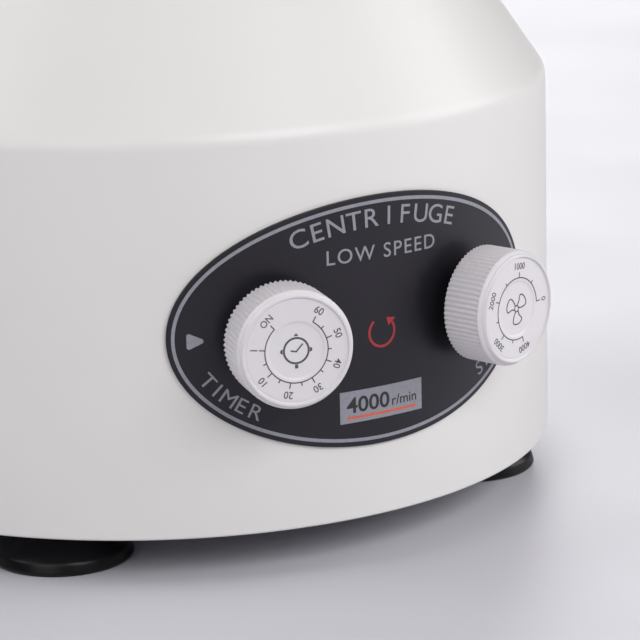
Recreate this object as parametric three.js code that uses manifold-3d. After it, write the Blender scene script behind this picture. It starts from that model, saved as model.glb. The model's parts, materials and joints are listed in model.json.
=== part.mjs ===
// Bench-top laboratory centrifuge with a clockwork timer and a speed control.
// Millimetres, +Z up. The origin is on the bench, on the rotor's axis; the control panel faces -Y.
import * as THREE from 'three';
import { mergeVertices } from 'three/addons/utils/BufferGeometryUtils.js';
import Module from 'manifold-3d';

const wasm = await Module();
wasm.setup();

// ---- Driving dimensions ----
const gap = 0.3; // between pieces that touch
const bodyR = 130; // housing wall at the height of the control panel
const wallDraft = 0.0075; // the wall leans in by this much per millimetre of height
const wallT = 3;
const bottomZ = 14; // lower edge of the housing
const shoulderZ = 134; // where the wall turns into the cone
const shoulderFillet = 10;
const coneLean = 34.4; // degrees from vertical
const rimR = 98; // outer edge of the top rim
const rimInnerR = 88;

const controlZ = 75.3; // height of both knobs
const controlTurn = 15.3; // degrees of each knob either side of the front
const knobR = 17.75;
const knobFace = bodyR + 21.6; // front face of a knob, from the machine's axis
const panelHalfArc = 67.2; // half length of the oval panel, along the wall
const panelHalfHeight = 38.3;
const panelZ = 75.3;
const panelT = 0.8;
const bushR = 4.7; // threaded bushes of the timer and the speed control
const spindleR = 3;

const footRingR = 103.8;
const footLipR = 22.2;
const footTurns = [48.6, 131.4, 228.6, 311.4];

const bowlR = 85;
const bowlFloorZ = 79;
const bowlT = 2;

const tubeTilt = 30; // degrees from vertical
const tubeRingR = 32; // radius of the tube holes at the rotor's dish
const tubeRingZ = 158;
const sleeveR = 10;
const sleeveFlangeR = 11.6;
const sleeveLength = 72;
const sleeveCount = 6;

const hingeY = 106;
const hingeZ = 183;
const lidR = 97.5;

const inletZ = 50;
const bossFaceY = 145.8; // flat pad on the back of the housing

const rad = THREE.MathUtils.degToRad;
const rimZ = shoulderZ + (wallRadius(shoulderZ) - rimR) / Math.tan(rad(coneLean));

// ---- Colours ----
const finishes = {
  shell: { color: 0xe6e6dc, roughness: 0.35, metalness: 0 },
  black: { color: 0x2b2b2e, roughness: 0.45, metalness: 0 },
  knob: { color: 0xeeecf0, roughness: 0.4, metalness: 0 },
  rubber: { color: 0x151517, roughness: 0.7, metalness: 0 },
  steel: { color: 0xb9bcc0, roughness: 0.3, metalness: 1 },
  aluminium: { color: 0xc9cbcd, roughness: 0.35, metalness: 1 },
  brass: { color: 0xc9a552, roughness: 0.3, metalness: 1 },
  copper: { color: 0xa8643c, roughness: 0.4, metalness: 1 },
  clear: { color: 0x9fb4bd, roughness: 0.1, metalness: 0 },
  board: { color: 0x1e5a34, roughness: 0.5, metalness: 0 },
};

// ---- Helpers ----
function wallRadius(z) {
  return bodyR + (panelZ - z) * wallDraft;
}

// Merges shared corners, drops empty triangles and turns the faces outward.
function closed(geometry) {
  const bare = geometry.clone();
  for (const name of ['normal', 'uv', 'uv1']) bare.deleteAttribute(name);
  bare.clearGroups();
  const merged = mergeVertices(bare, 1e-4);
  const points = merged.attributes.position.array;
  const faces = [];
  let volume = 0;
  const corner = [0, 1, 2].map(() => new THREE.Vector3());
  for (let i = 0; i < merged.index.count; i += 3) {
    const ids = [0, 1, 2].map((k) => merged.index.array[i + k]);
    if (ids[0] === ids[1] || ids[1] === ids[2] || ids[2] === ids[0]) continue;
    ids.forEach((id, k) => corner[k].fromArray(points, id * 3));
    volume += corner[0].dot(corner[1].clone().cross(corner[2]));
    faces.push(ids);
  }
  if (volume < 0) faces.forEach((ids) => ids.reverse());
  return { points: Float32Array.from(points), faces: Uint32Array.from(faces.flat()) };
}

function solid(geometry) {
  const { points, faces } = closed(geometry);
  return new wasm.Manifold(new wasm.Mesh({ numProp: 3, vertProperties: points, triVerts: faces }));
}

function geometryOf(manifold) {
  const mesh = manifold.getMesh();
  const geometry = new THREE.BufferGeometry();
  geometry.setAttribute('position', new THREE.BufferAttribute(mesh.vertProperties, 3));
  geometry.setIndex(new THREE.BufferAttribute(mesh.triVerts, 1));
  return geometry;
}

function join(first, ...rest) {
  return geometryOf(rest.reduce((sum, item) => sum.add(solid(item)), solid(first)));
}

function cut(first, ...rest) {
  return geometryOf(rest.reduce((sum, item) => sum.subtract(solid(item)), solid(first)));
}

function common(first, second) {
  return geometryOf(solid(first).intersect(solid(second)));
}

// Turns a profile of [radius, z] points about Z. A profile that misses the axis closes on itself.
function turned(profile, sides = 32) {
  const points = profile.map(([r, z]) => new THREE.Vector2(r, z));
  const last = points[points.length - 1];
  if (points[0].x > 0 || last.x > 0) points.push(points[0].clone());
  return geometryOf(solid(new THREE.LatheGeometry(points, sides).rotateX(Math.PI / 2)));
}

function rod(radius, z0, z1, sides = 24) {
  const geometry = new THREE.CylinderGeometry(radius, radius, z1 - z0, sides);
  return geometry.rotateX(Math.PI / 2).translate(0, 0, (z0 + z1) / 2);
}

function ring(outer, inner, z0, z1, sides = 32) {
  return turned([[inner, z0], [outer, z0], [outer, z1], [inner, z1]], sides);
}

function block(x0, x1, y0, y1, z0, z1) {
  const geometry = new THREE.BoxGeometry(x1 - x0, y1 - y0, z1 - z0);
  return geometry.translate((x0 + x1) / 2, (y0 + y1) / 2, (z0 + z1) / 2);
}

// Points of a quarter or shorter arc in a [radius, z] profile, angles in degrees from +radius.
function arc(centreR, centreZ, radius, from, to, steps) {
  return Array.from({ length: steps + 1 }, (_, i) => {
    const angle = rad(from + ((to - from) * i) / steps);
    return [centreR + radius * Math.cos(angle), centreZ + radius * Math.sin(angle)];
  });
}

// A rectangle with round corners in XY, from z0 to z1.
function roundedPlate(width, height, corner, z0, z1) {
  const x = width / 2;
  const y = height / 2;
  const shape = new THREE.Shape();
  shape.moveTo(-x + corner, -y);
  shape.lineTo(x - corner, -y);
  shape.absarc(x - corner, -y + corner, corner, -Math.PI / 2, 0);
  shape.absarc(x - corner, y - corner, corner, 0, Math.PI / 2);
  shape.absarc(-x + corner, y - corner, corner, Math.PI / 2, Math.PI);
  shape.absarc(-x + corner, -y + corner, corner, Math.PI, 1.5 * Math.PI);
  const options = { depth: z1 - z0, bevelEnabled: false, curveSegments: 4 };
  return new THREE.ExtrudeGeometry(shape, options).translate(0, 0, z0);
}

// A round bar along a smooth curve through the points.
function tubeAlong(points, radius, steps, sides = 8) {
  const section = new THREE.Shape();
  section.absarc(0, 0, radius, 0, 2 * Math.PI);
  const path = new THREE.CatmullRomCurve3(points.map((p) => new THREE.Vector3(...p)));
  const options = { steps, extrudePath: path, curveSegments: sides / 2, bevelEnabled: false };
  return new THREE.ExtrudeGeometry(section, options);
}

// Spur gear outline: straight-flanked teeth that are narrower than their gaps, which is the backlash.
function gear(teeth, module, z0, z1, boreR, toothShare = 0.38) {
  const pitchR = (teeth * module) / 2;
  const tipR = pitchR + 0.8 * module;
  const rootR = pitchR - 1.15 * module;
  const pitchAngle = (2 * Math.PI) / teeth;
  const shape = new THREE.Shape();
  for (let i = 0; i < teeth; i += 1) {
    const middle = i * pitchAngle;
    const corners = [
      [rootR, -toothShare * 0.78],
      [tipR, -toothShare * 0.3],
      [tipR, toothShare * 0.3],
      [rootR, toothShare * 0.78],
    ];
    for (const [r, share] of corners) {
      const angle = middle + share * pitchAngle;
      const point = [r * Math.cos(angle), r * Math.sin(angle)];
      if (i === 0 && r === rootR && share < 0) shape.moveTo(...point);
      else shape.lineTo(...point);
    }
  }
  if (boreR > 0) {
    const hole = new THREE.Path();
    hole.absarc(0, 0, boreR, 0, 2 * Math.PI, true);
    shape.holes.push(hole);
  }
  const options = { depth: z1 - z0, bevelEnabled: false, curveSegments: 8 };
  return new THREE.ExtrudeGeometry(shape, options).translate(0, 0, z0);
}

const machine = new THREE.Group();

function piece(name, finish, geometry, parent = machine) {
  const mesh = new THREE.Mesh(geometry, new THREE.MeshStandardMaterial(finishes[finish]));
  mesh.name = name;
  parent.add(mesh);
  return mesh;
}

// A frame on the wall: its Z points outward from the machine's axis, its Y points up.
function controlFrame(turn) {
  const group = new THREE.Group();
  const outward = new THREE.Vector3(Math.sin(rad(turn)), -Math.cos(rad(turn)), 0);
  const sideways = new THREE.Vector3(Math.cos(rad(turn)), Math.sin(rad(turn)), 0);
  const basis = new THREE.Matrix4().makeBasis(sideways, new THREE.Vector3(0, 0, 1), outward);
  group.quaternion.setFromRotationMatrix(basis);
  group.position.set(0, 0, controlZ);
  group.updateMatrix();
  machine.add(group);
  return group;
}

const timerSide = controlFrame(-controlTurn);
const speedSide = controlFrame(controlTurn);

function inFrame(geometry, frame) {
  return geometry.clone().applyMatrix4(frame.matrix);
}

// ---- Housing ----
function coneRadius(z) {
  return rimR + (rimZ - z) * Math.tan(rad(coneLean));
}

// The body's outline from its lower edge to topZ, moved outward by offset.
function shellProfile(offset, topZ) {
  const lean = rad(coneLean);
  const fillet = shoulderFillet + offset;
  const turnZ = shoulderZ + offset * Math.tan(lean / 2);
  const wallTop = turnZ - fillet * Math.tan(lean / 2);
  const centreR = wallRadius(wallTop) + offset - fillet;
  return [
    [wallRadius(bottomZ) + offset, bottomZ],
    ...arc(centreR, wallTop, fillet, 0, coneLean, 4),
    [coneRadius(topZ) + offset / Math.cos(lean), topZ],
  ];
}

function makeHousing() {
  const outer = shellProfile(0, rimZ);
  const inner = shellProfile(-wallT, rimZ - wallT).reverse();
  const profile = [...outer, [rimInnerR, rimZ], [rimInnerR, rimZ - wallT], ...inner];
  let shell = turned(profile, 60);
  const boss = block(-34, 34, 112, bossFaceY, 28, 72);
  const bossHollow = block(-31, 31, 100, bossFaceY - wallT, 31, 69);
  const core = turned([[0, 20], [bodyR - 4, 20], [bodyR - 4, 80], [0, 80]], 60);
  shell = join(shell, cut(boss, core));
  const inletHole = block(-22.5, 22.5, 120, 150, inletZ - 13.5, inletZ + 13.5);
  shell = cut(shell, bossHollow, inletHole);
  shell = cut(shell, inFrame(rod(bushR + 0.3, 110, 140), timerSide));
  shell = cut(shell, inFrame(rod(bushR + 0.3, 110, 140), speedSide));
  const latchHole = block(-15.1, 15.1, -125, -94, 170, 176.9);
  const catchHole = block(-6.6, 6.6, -96.2, -92.2, rimZ - 5, rimZ + 1);
  const vents = [];
  for (const side of [-1, 1]) {
    for (let i = 0; i < 5; i += 1) {
      const slot = block(-1.6, 1.6, bodyR - 8, bodyR + 6, 34, 66);
      vents.push(slot.rotateZ(side * rad(24 + 5 * i)));
    }
  }
  return cut(shell, latchHole, catchHole, ...vents);
}
piece('housing', 'shell', makeHousing());

const plateTop = 18;
const plateZ = 15.5;
piece('base_plate', 'steel', ring(126.8, 5, plateZ, plateTop, 48));

// Suction cup foot: a soft lip, a waisted neck and a flange against the base plate.
const footProfile = [
  [footLipR - 1.2, 0],
  [footLipR, 0.9],
  [footLipR - 0.5, 4],
  [17.6, 6],
  [14.2, 9],
  [12.6, 12.4],
  [12.6, plateZ - gap],
  [0, plateZ - gap],
  [0, 3.6],
  [11, 2.4],
  [footLipR - 4.2, 0],
];
footTurns.forEach((turn, i) => {
  const foot = piece(`foot_${i + 1}`, 'rubber', turned(footProfile, 18));
  foot.position.set(footRingR * Math.sin(rad(turn)), -footRingR * Math.cos(rad(turn)), 0);
});

// ---- Centrifuge chamber ----
const flangeTop = rimZ - wallT - gap;
const bowlOuter = bowlR + bowlT;
const bowlProfile = [
  [7, bowlFloorZ],
  ...arc(bowlOuter - 12, bowlFloorZ + 12, 12, -90, 0, 3),
  [bowlOuter, flangeTop - 2],
  [92, flangeTop - 2],
  [92, flangeTop],
  [bowlR, flangeTop],
  ...arc(bowlOuter - 12, bowlFloorZ + 12, 10, 0, -90, 3),
  [7, bowlFloorZ + bowlT],
];
piece('chamber_bowl', 'steel', turned(bowlProfile, 40));
piece('bowl_gasket', 'rubber', ring(rimInnerR - gap, bowlR + 0.4, flangeTop + gap, rimZ + 1.4, 40));

// ---- Lid ----
const lidZ = rimZ + gap;
const lidTop = lidZ + 20.7;
const windowR = 45;
const lidProfile = [
  [lidR, lidZ],
  [lidR, lidZ + 7.7],
  ...arc(lidR - 14, lidZ + 8.7, 12, 20, 90, 3),
  [windowR + 7, lidTop],
  [windowR + 7, lidTop - 1.6],
  [windowR - 3, lidTop - 1.6],
  [windowR - 3, lidTop - 4],
  ...arc(lidR - 14, lidZ + 8.7, 9, 90, 0, 3),
  [lidR - 5, lidZ + 4],
  [lidR - 5, lidZ],
];
const lidCatchSlot = block(-7, 7, -95.1, -92.3, lidZ - 1, lidZ + 2);
piece('lid_shell', 'shell', cut(turned(lidProfile, 40), lidCatchSlot));
const windowZ = lidTop - 1.6 + gap;
piece('lid_window', 'clear', turned([[0, windowZ], [windowR, windowZ], [windowR, windowZ + 2.4], [0, windowZ + 2.4]], 40));
piece('window_ring', 'black', ring(windowR + 6.6, windowR + gap, windowZ, lidTop + 1.2, 32));
piece('lid_gasket', 'rubber', ring(lidR - 5.4, rimInnerR + 1, lidZ, lidZ + 2.6, 40));

const catchBar = block(-6, 6, -94.8, -92.6, rimZ - 14, lidZ + 1.7);
piece('lid_catch', 'steel', cut(catchBar, block(-3.5, 3.5, -96, -91, rimZ - 11, rimZ - 7)));

// Hinge at the back: the arm's knuckle turns on a pin held between two ears.
const pinR = 2;
function acrossX(geometry) {
  return geometry.rotateY(Math.PI / 2).translate(0, hingeY, hingeZ);
}
const armPlate = block(-11.5, 11.5, lidR - 2, hingeY, lidZ + gap, hingeZ + 3.4);
const armPad = block(-11.5, 11.5, lidR - 4, lidR + 3, lidZ + gap, lidZ + 7.4);
const lidEdge = turned([[0, lidZ - 5], [lidR + gap, lidZ - 5], [lidR + gap, lidZ + 30], [0, lidZ + 30]], 48);
const armBody = cut(join(armPlate, armPad, acrossX(rod(5, -11.5, 11.5, 20))), lidEdge);
piece('lid_hinge_arm', 'steel', cut(armBody, acrossX(rod(pinR + gap, -15, 15, 16))));
const ears = [-1, 1].map((side) => {
  const inside = Math.min(side * 12, side * 17);
  const ear = block(inside, inside + 5, hingeY - 5, hingeY + 5, 160, hingeZ);
  return join(ear, acrossX(rod(5, inside, inside + 5, 20)));
});
const saddle = block(-17, 17, hingeY - 5, hingeY + 12, 155, hingeZ - 9);
const saddleFit = turned([[0, 130], ...shellProfile(gap, rimZ).slice(-2), [0, rimZ]], 60);
const bracketBody = cut(join(saddle, ...ears), saddleFit);
piece('hinge_bracket', 'steel', cut(bracketBody, acrossX(rod(pinR + gap, -20, 20, 16))));
piece('hinge_pin', 'steel', acrossX(rod(pinR, -18, 18, 16)));

// ---- Lid latch ----
// The button's arms pass either side of the catch, and its nose stands behind the catch's window.
const coneEnvelope = turned([[0, 130], ...shellProfile(1.5, rimZ).slice(-2), [0, rimZ]], 60);
const buttonCap = common(block(-14.5, 14.5, -125, -98, 170.6, 176.3), coneEnvelope);
const buttonArms = [-1, 1].map((side) => {
  const inside = Math.min(side * 6.6, side * 8.4);
  return block(inside, inside + 1.8, -99, -90.4, 170.6, 173);
});
const buttonBar = block(-8.4, 8.4, -91.8, -90.4, 170.6, 173);
const buttonNose = block(-3, 3, -92.3, -91, 170.6, 172.6);
piece('latch_button', 'black', join(buttonCap, ...buttonArms, buttonBar, buttonNose));

function coil(coilR, wireR, length, turns, stepsPerTurn) {
  const steps = turns * stepsPerTurn;
  const points = Array.from({ length: steps + 1 }, (_, i) => {
    const angle = (2 * Math.PI * i) / stepsPerTurn;
    return [coilR * Math.cos(angle), (length * i) / steps, coilR * Math.sin(angle)];
  });
  return tubeAlong(points, wireR, steps, 4);
}
const spring = piece('latch_spring', 'steel', coil(2, 0.3, 9.6, 5, 8));
spring.position.set(11.4, -97.4, 171.9);

// ---- Control panel ----
function panelOutline(steps) {
  const shape = new THREE.Shape();
  for (let i = 0; i < steps; i += 1) {
    const t = (2 * Math.PI * i) / steps;
    const x = bodyR * Math.sin((panelHalfArc * Math.cos(t)) / bodyR);
    const z = panelZ + panelHalfHeight * Math.sin(t);
    if (i === 0) shape.moveTo(x, z);
    else shape.lineTo(x, z);
  }
  return shape;
}
const panelPrism = new THREE.ExtrudeGeometry(panelOutline(56), { depth: 160, bevelEnabled: false });
panelPrism.rotateX(Math.PI / 2);
const panelBand = turned([
  [wallRadius(30) + gap, 30],
  [wallRadius(30) + gap + panelT, 30],
  [wallRadius(120) + gap + panelT, 120],
  [wallRadius(120) + gap, 120],
], 96);
const bushHoles = [timerSide, speedSide].map((frame) => inFrame(rod(bushR + 0.5, 110, 140), frame));
piece('control_panel', 'black', cut(common(panelBand, panelPrism), ...bushHoles));

// ---- Knobs ----
const knobBack = bodyR + 6.5;
const spindleEnd = 147.5;
const boreR = spindleR + gap;
const knobProfile = [
  [9.6, knobBack],
  [knobR - 0.4, knobBack],
  [knobR, knobBack + 1],
  [knobR, knobFace - 1.6],
  [knobR - 0.8, knobFace],
  [knobR - 2.2, knobFace],
  [knobR - 3, knobFace - 0.6],
  [0, knobFace - 0.8],
  [0, spindleEnd + gap],
  [boreR, spindleEnd + gap],
  [boreR, knobBack + 4.4],
  [9.6, knobBack + 4.4],
];
piece('timer_knob', 'knob', turned(knobProfile, 32), timerSide);
piece('speed_knob', 'knob', turned(knobProfile, 32), speedSide);

const bushEnd = 134.8;
function bushNut() {
  return cut(rod(7.6, 131.6, 134.4, 6), rod(bushR + gap, 130, 136, 20));
}
piece('timer_nut', 'steel', bushNut(), timerSide);
piece('pot_nut', 'steel', bushNut(), speedSide);

// ---- Clockwork timer ----
// Distances along the timer's own axis are measured from the machine's axis.
const backPlateZ = 96;
const frontPlateZ = 119;
const plateThick = 1.4;
const secondArbor = [-12, -9];
const escapeArbor = [-4.34, -15.43];
const palletArbor = [4.66, -15.43];
const arborR = 0.9;
const pivotHoleR = 1.25;

function at(geometry, [x, y]) {
  return geometry.translate(x, y, 0);
}

function timerPlate(z) {
  const places = [secondArbor, escapeArbor, palletArbor];
  const holes = places.map((place) => at(rod(pivotHoleR, z - 1, z + 3, 10), place));
  return cut(roundedPlate(46, 44, 4, z, z + plateThick), ...holes, rod(boreR, z - 1, z + 3, 20));
}
const pillars = [[18, -16], [-18, 14], [18, 16]].map((place) => at(rod(2, 97.7, 119.5, 12), place));
const bush = cut(rod(bushR, 119.5, bushEnd, 24), rod(boreR, 115, 140, 20));
piece('timer_frame', 'steel', join(timerPlate(frontPlateZ), ...pillars, bush), timerSide);
piece('timer_back_plate', 'brass', timerPlate(backPlateZ), timerSide);

const shaftCam = common(rod(5, 91.8, 93.6, 20), block(-5, 3.6, -6, 6, 91, 94));
piece('timer_shaft', 'steel', join(rod(spindleR, 92, spindleEnd, 20), shaftCam), timerSide);
piece('timer_drive_wheel', 'brass', gear(40, 0.6, 112, 114, boreR), timerSide);

function arbor(place, turn, ...wheels) {
  const body = join(rod(arborR, backPlateZ, frontPlateZ + 1, 10), ...wheels);
  return at(body.rotateZ(rad(turn)), place);
}
const secondWheels = [gear(10, 0.6, 111.4, 114.6, 0), gear(30, 0.5, 108.4, 109.8, 0)];
const escapeWheels = [gear(10, 0.5, 107.9, 110.3, 0), gear(15, 0.62, 106.5, 107.5, 0, 0.2)];
const secondTurn = 24; // degrees that bring each pinion into mesh at rest
const escapeTurn = 1.5;
piece('timer_second_wheel', 'brass', arbor(secondArbor, secondTurn, ...secondWheels), timerSide);
piece('timer_escape_wheel', 'brass', arbor(escapeArbor, escapeTurn, ...escapeWheels), timerSide);

const palletArm = block(-0.4, 6.4, -0.4, 0.4, 106.5, 107.5);
const palletArms = [137.3, -137.3].map((turn) => palletArm.clone().rotateZ(rad(turn)));
const palletHub = rod(1.7, 106.2, 107.8, 12);
piece('timer_pallet', 'steel', arbor(palletArbor, 0, palletHub, ...palletArms), timerSide);

function mainspring(innerR, outerR, thick, turns, stepsPerTurn, z0, z1) {
  const steps = turns * stepsPerTurn;
  const edge = (side) => Array.from({ length: steps + 1 }, (_, i) => {
    const r = innerR + ((outerR - innerR) * i) / steps + (side * thick) / 2;
    const angle = (2 * Math.PI * i) / stepsPerTurn;
    return new THREE.Vector2(r * Math.cos(angle), r * Math.sin(angle));
  });
  const shape = new THREE.Shape([...edge(1), ...edge(-1).reverse()]);
  const options = { depth: z1 - z0, bevelEnabled: false };
  return new THREE.ExtrudeGeometry(shape, options).translate(0, 0, z0);
}
piece('timer_mainspring', 'steel', mainspring(4.4, 12.6, 0.4, 4, 16, 99.5, 105.5), timerSide);

const switchTabs = [-6, 0, 6].map((x) => block(x - 1.2, x + 1.2, -14, -13.4, 84, 89));
piece('timer_switch', 'black', join(block(-9, 9, -19, -8, 88, 95.6), ...switchTabs), timerSide);
const bellProfile = [
  [0, 89.4],
  ...arc(5.5, 92.4, 3, -90, 0, 3),
  [8.5, 94.6],
  [7.7, 94.6],
  ...arc(5.5, 92.4, 2.2, 0, -90, 3),
  [1.4, 90.2],
  [1.4, 95.6],
  [0, 95.6],
];
piece('timer_bell', 'steel', at(turned(bellProfile, 14), [10, 13]), timerSide);

// ---- Speed control ----
const potBush = rod(bushR, 117, bushEnd, 24);
const potTabs = [-5, 0, 5].map((x) => block(x - 1, x + 1, -17, -11, 107, 107.8));
const potBore = rod(boreR, 110, 140, 20);
piece('pot_body', 'aluminium', cut(join(rod(12, 104, 118, 28), potBush, ...potTabs), potBore), speedSide);
piece('pot_shaft', 'steel', rod(spindleR, 110.3, spindleEnd, 20), speedSide);

const boardZ = 24;
const boardX = [-112, -72];
const boardY = 40;
const boardLegs = [[-107, -34], [-107, 34], [-77, -34], [-77, 34]].map((place) => (
  at(rod(3, plateTop + gap, boardZ + 0.2, 12), place)
));
const boardSlab = block(...boardX, -boardY, boardY, boardZ, boardZ + 1.6);
piece('control_board', 'board', join(boardSlab, ...boardLegs));
piece('board_capacitor', 'aluminium', at(rod(8, boardZ + 1.6 + gap, boardZ + 26, 20), [-94, -20]));

// ---- Power inlet with its fuse drawer ----
const flangeY = bossFaceY + gap;
const inletFlange = block(-25, 25, flangeY, flangeY + 3, inletZ - 16, inletZ + 16);
const inletBody = block(-22, 22, flangeY - 27, flangeY + 1, inletZ - 13, inletZ + 13);
const socket = block(-19, 5, flangeY - 15, flangeY + 5, inletZ - 8, inletZ + 8);
const fuseSlot = block(9, 19, flangeY - 22, flangeY + 5, inletZ - 10, inletZ + 10);
const blades = [[-14, -1.5], [-7, 3], [0, -1.5]].map(([x, z]) => (
  block(x - 1, x + 1, flangeY - 16, flangeY - 2, inletZ + z - 2, inletZ + z + 2)
));
const inletTabs = [-14, 0, 14].map((x) => block(x - 3, x + 3, flangeY - 34, flangeY - 26, inletZ - 4, inletZ - 3.2));
const inletHollow = cut(join(inletFlange, inletBody), socket, fuseSlot);
piece('power_inlet', 'black', join(inletHollow, ...blades, ...inletTabs));
const drawerBox = block(9 + gap, 19 - gap, flangeY - 21.6, flangeY + 3.6, inletZ - 10 + gap, inletZ + 10 - gap);
const drawerFace = block(7.6, 20.4, flangeY + 3 + gap, flangeY + 4.5, inletZ - 11.4, inletZ + 11.4);
piece('fuse_drawer', 'black', join(drawerBox, drawerFace));

// ---- Motor ----
const shaftR = 4;
const bearingR = 8;
const canR = 35;
const canProfile = [
  [canR - 2, 28],
  [canR, 28],
  [canR, 46.8],
  [42, 46.8],
  [42, 49],
  [canR, 49],
  [canR, 70],
  [6, 70],
  [6, 67.3],
  [bearingR + gap, 67.3],
  [bearingR + gap, 61],
  [10.5, 61],
  [10.5, 67.6],
  [canR - 2, 67.6],
];
piece('motor_can', 'steel', turned(canProfile, 24));
const capProfile = [
  [0, 22],
  [canR, 22],
  [canR, 27.7],
  [canR - 3, 27.7],
  [canR - 3, 24.5],
  [10.5, 24.5],
  [10.5, 30],
  [bearingR + gap, 30],
  [bearingR + gap, 24.5],
  [0, 24.5],
];
piece('motor_end_cap', 'black', turned(capProfile, 24));
piece('lower_bearing', 'steel', ring(bearingR, shaftR + gap, 24.8, 29.6, 16));
piece('upper_bearing', 'steel', ring(bearingR, shaftR + gap, 61.5, 67, 16));
piece('motor_shaft', 'steel', rod(shaftR, 25.2, 156.2, 16));
piece('armature', 'copper', ring(26, shaftR + gap, 36, 60, 24));
piece('commutator', 'copper', ring(11, shaftR + gap, 30.8, 35.4, 16));
piece('motor_plate', 'steel', ring(60, canR + 0.6, 44, 46.5, 28));
[90, 210, 330].forEach((turn, i) => {
  const place = [50 * Math.cos(rad(turn)), 50 * Math.sin(rad(turn))];
  piece(`isolator_${i + 1}`, 'rubber', at(rod(8, plateTop + gap, 44 - gap, 20), place));
});

// ---- Rotor ----
function dishZ(r) {
  return tubeRingZ + (r - tubeRingR) * Math.tan(rad(tubeTilt));
}
const rotorT = 4;
const along = [Math.sin(rad(tubeTilt)), -Math.cos(rad(tubeTilt))]; // down a tube's axis, in [radius, z]
const across = [Math.cos(rad(tubeTilt)), Math.sin(rad(tubeTilt))];
const skirtTop = [45, dishZ(45)];
function fromSkirtTop(down, out) {
  return [0, 1].map((i) => skirtTop[i] + down * along[i] + out * across[i]);
}
const rotorHubR = 16;
const underDish = rotorT / Math.cos(rad(tubeTilt));
const rotorProfile = [
  [shaftR + gap, 126],
  [11, 126],
  [rotorHubR, dishZ(rotorHubR) - underDish],
  fromSkirtTop(rotorT, -rotorT),
  fromSkirtTop(62, -rotorT),
  fromSkirtTop(62, 0),
  skirtTop,
  [rotorHubR, dishZ(rotorHubR)],
  [shaftR + gap, dishZ(rotorHubR)],
];

function tubePlace(index) {
  const group = new THREE.Group();
  group.rotation.z = rad((360 * (index + 0.5)) / sleeveCount);
  const holder = new THREE.Group();
  holder.position.set(tubeRingR, 0, tubeRingZ);
  holder.rotation.y = -rad(tubeTilt);
  group.add(holder);
  machine.add(group);
  group.updateMatrixWorld(true);
  return holder;
}
const holders = Array.from({ length: sleeveCount }, (_, i) => tubePlace(i));
// Each hole has a flat spot face that the sleeve's flange rests on.
const tubeHoles = holders.map((holder) => {
  const hole = join(rod(sleeveR + 0.4, -11, 2, 18), rod(sleeveFlangeR + 0.5, 0, 12, 18));
  return hole.applyMatrix4(holder.matrixWorld);
});
piece('rotor', 'aluminium', cut(turned(rotorProfile, 36), ...tubeHoles));
const sleeveProfile = [
  [0, -sleeveLength],
  [7, -sleeveLength],
  [sleeveR, -sleeveLength + 3],
  [sleeveR, gap],
  [sleeveFlangeR, gap],
  [sleeveFlangeR, gap + 1.5],
  [8.75, gap + 1.5],
  [8.75, -sleeveLength + 4],
  [6.2, -sleeveLength + 1.5],
  [0, -sleeveLength + 1.5],
];
holders.forEach((holder, i) => {
  piece(`tube_sleeve_${i + 1}`, 'aluminium', turned(sleeveProfile, 14), holder);
});
const nutBase = dishZ(rotorHubR) + gap;
const nutProfile = [[0, nutBase], [9, nutBase], [9, nutBase + 6], [7, nutBase + 9], [0, nutBase + 9]];
piece('rotor_nut', 'steel', cut(turned(nutProfile, 6), rod(shaftR + gap, nutBase - 1, 156.5, 24)));

// ---- Wires ----
const inletRoute = [
  [0, 111, 46.4],
  [-4, 107, 45],
  [-24, 99, 40],
  [-52, 84, 36],
  [-76, 62, 36],
  [-88, 44, 34],
  [-91, 35, 30],
  [-91, 34, 26],
];
piece('inlet_wires', 'rubber', tubeAlong(inletRoute, 1.6, 36));
const motorRoute = [
  [-80, -6, 26],
  [-79.6, -6, 30],
  [-74, -5, 36],
  [-62, -3, 38],
  [-48, -1, 36],
  [-38, 0, 33],
  [-35.6, 0, 32.6],
];
piece('motor_wires', 'rubber', tubeAlong(motorRoute, 1.6, 24));

export default machine;
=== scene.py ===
"""Looks of a small bench-top laboratory centrifuge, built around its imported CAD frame.

Lengths in the helpers are millimetres in the CAD frame: +Z up, the rotor's axis at the origin,
the control panel facing -Y. Meshes are scaled to metres when they are made.
"""
import json
import math

import bmesh
import bpy
from mathutils import Matrix, Vector


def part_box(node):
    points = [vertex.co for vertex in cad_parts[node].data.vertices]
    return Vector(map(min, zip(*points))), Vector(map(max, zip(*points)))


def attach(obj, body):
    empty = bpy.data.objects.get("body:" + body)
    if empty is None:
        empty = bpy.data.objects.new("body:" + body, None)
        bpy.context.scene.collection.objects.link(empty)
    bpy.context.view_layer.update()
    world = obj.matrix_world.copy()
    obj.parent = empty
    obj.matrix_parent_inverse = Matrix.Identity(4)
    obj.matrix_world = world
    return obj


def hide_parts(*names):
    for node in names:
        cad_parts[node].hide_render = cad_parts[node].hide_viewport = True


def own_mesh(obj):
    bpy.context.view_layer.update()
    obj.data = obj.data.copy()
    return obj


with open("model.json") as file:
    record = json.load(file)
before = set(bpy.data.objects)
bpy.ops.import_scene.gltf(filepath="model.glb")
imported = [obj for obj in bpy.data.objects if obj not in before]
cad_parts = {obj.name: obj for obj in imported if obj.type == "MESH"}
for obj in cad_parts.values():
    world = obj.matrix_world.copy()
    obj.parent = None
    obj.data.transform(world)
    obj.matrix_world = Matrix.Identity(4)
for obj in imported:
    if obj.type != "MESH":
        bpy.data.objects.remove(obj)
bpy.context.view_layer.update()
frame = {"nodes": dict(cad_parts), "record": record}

MM = 0.001

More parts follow.
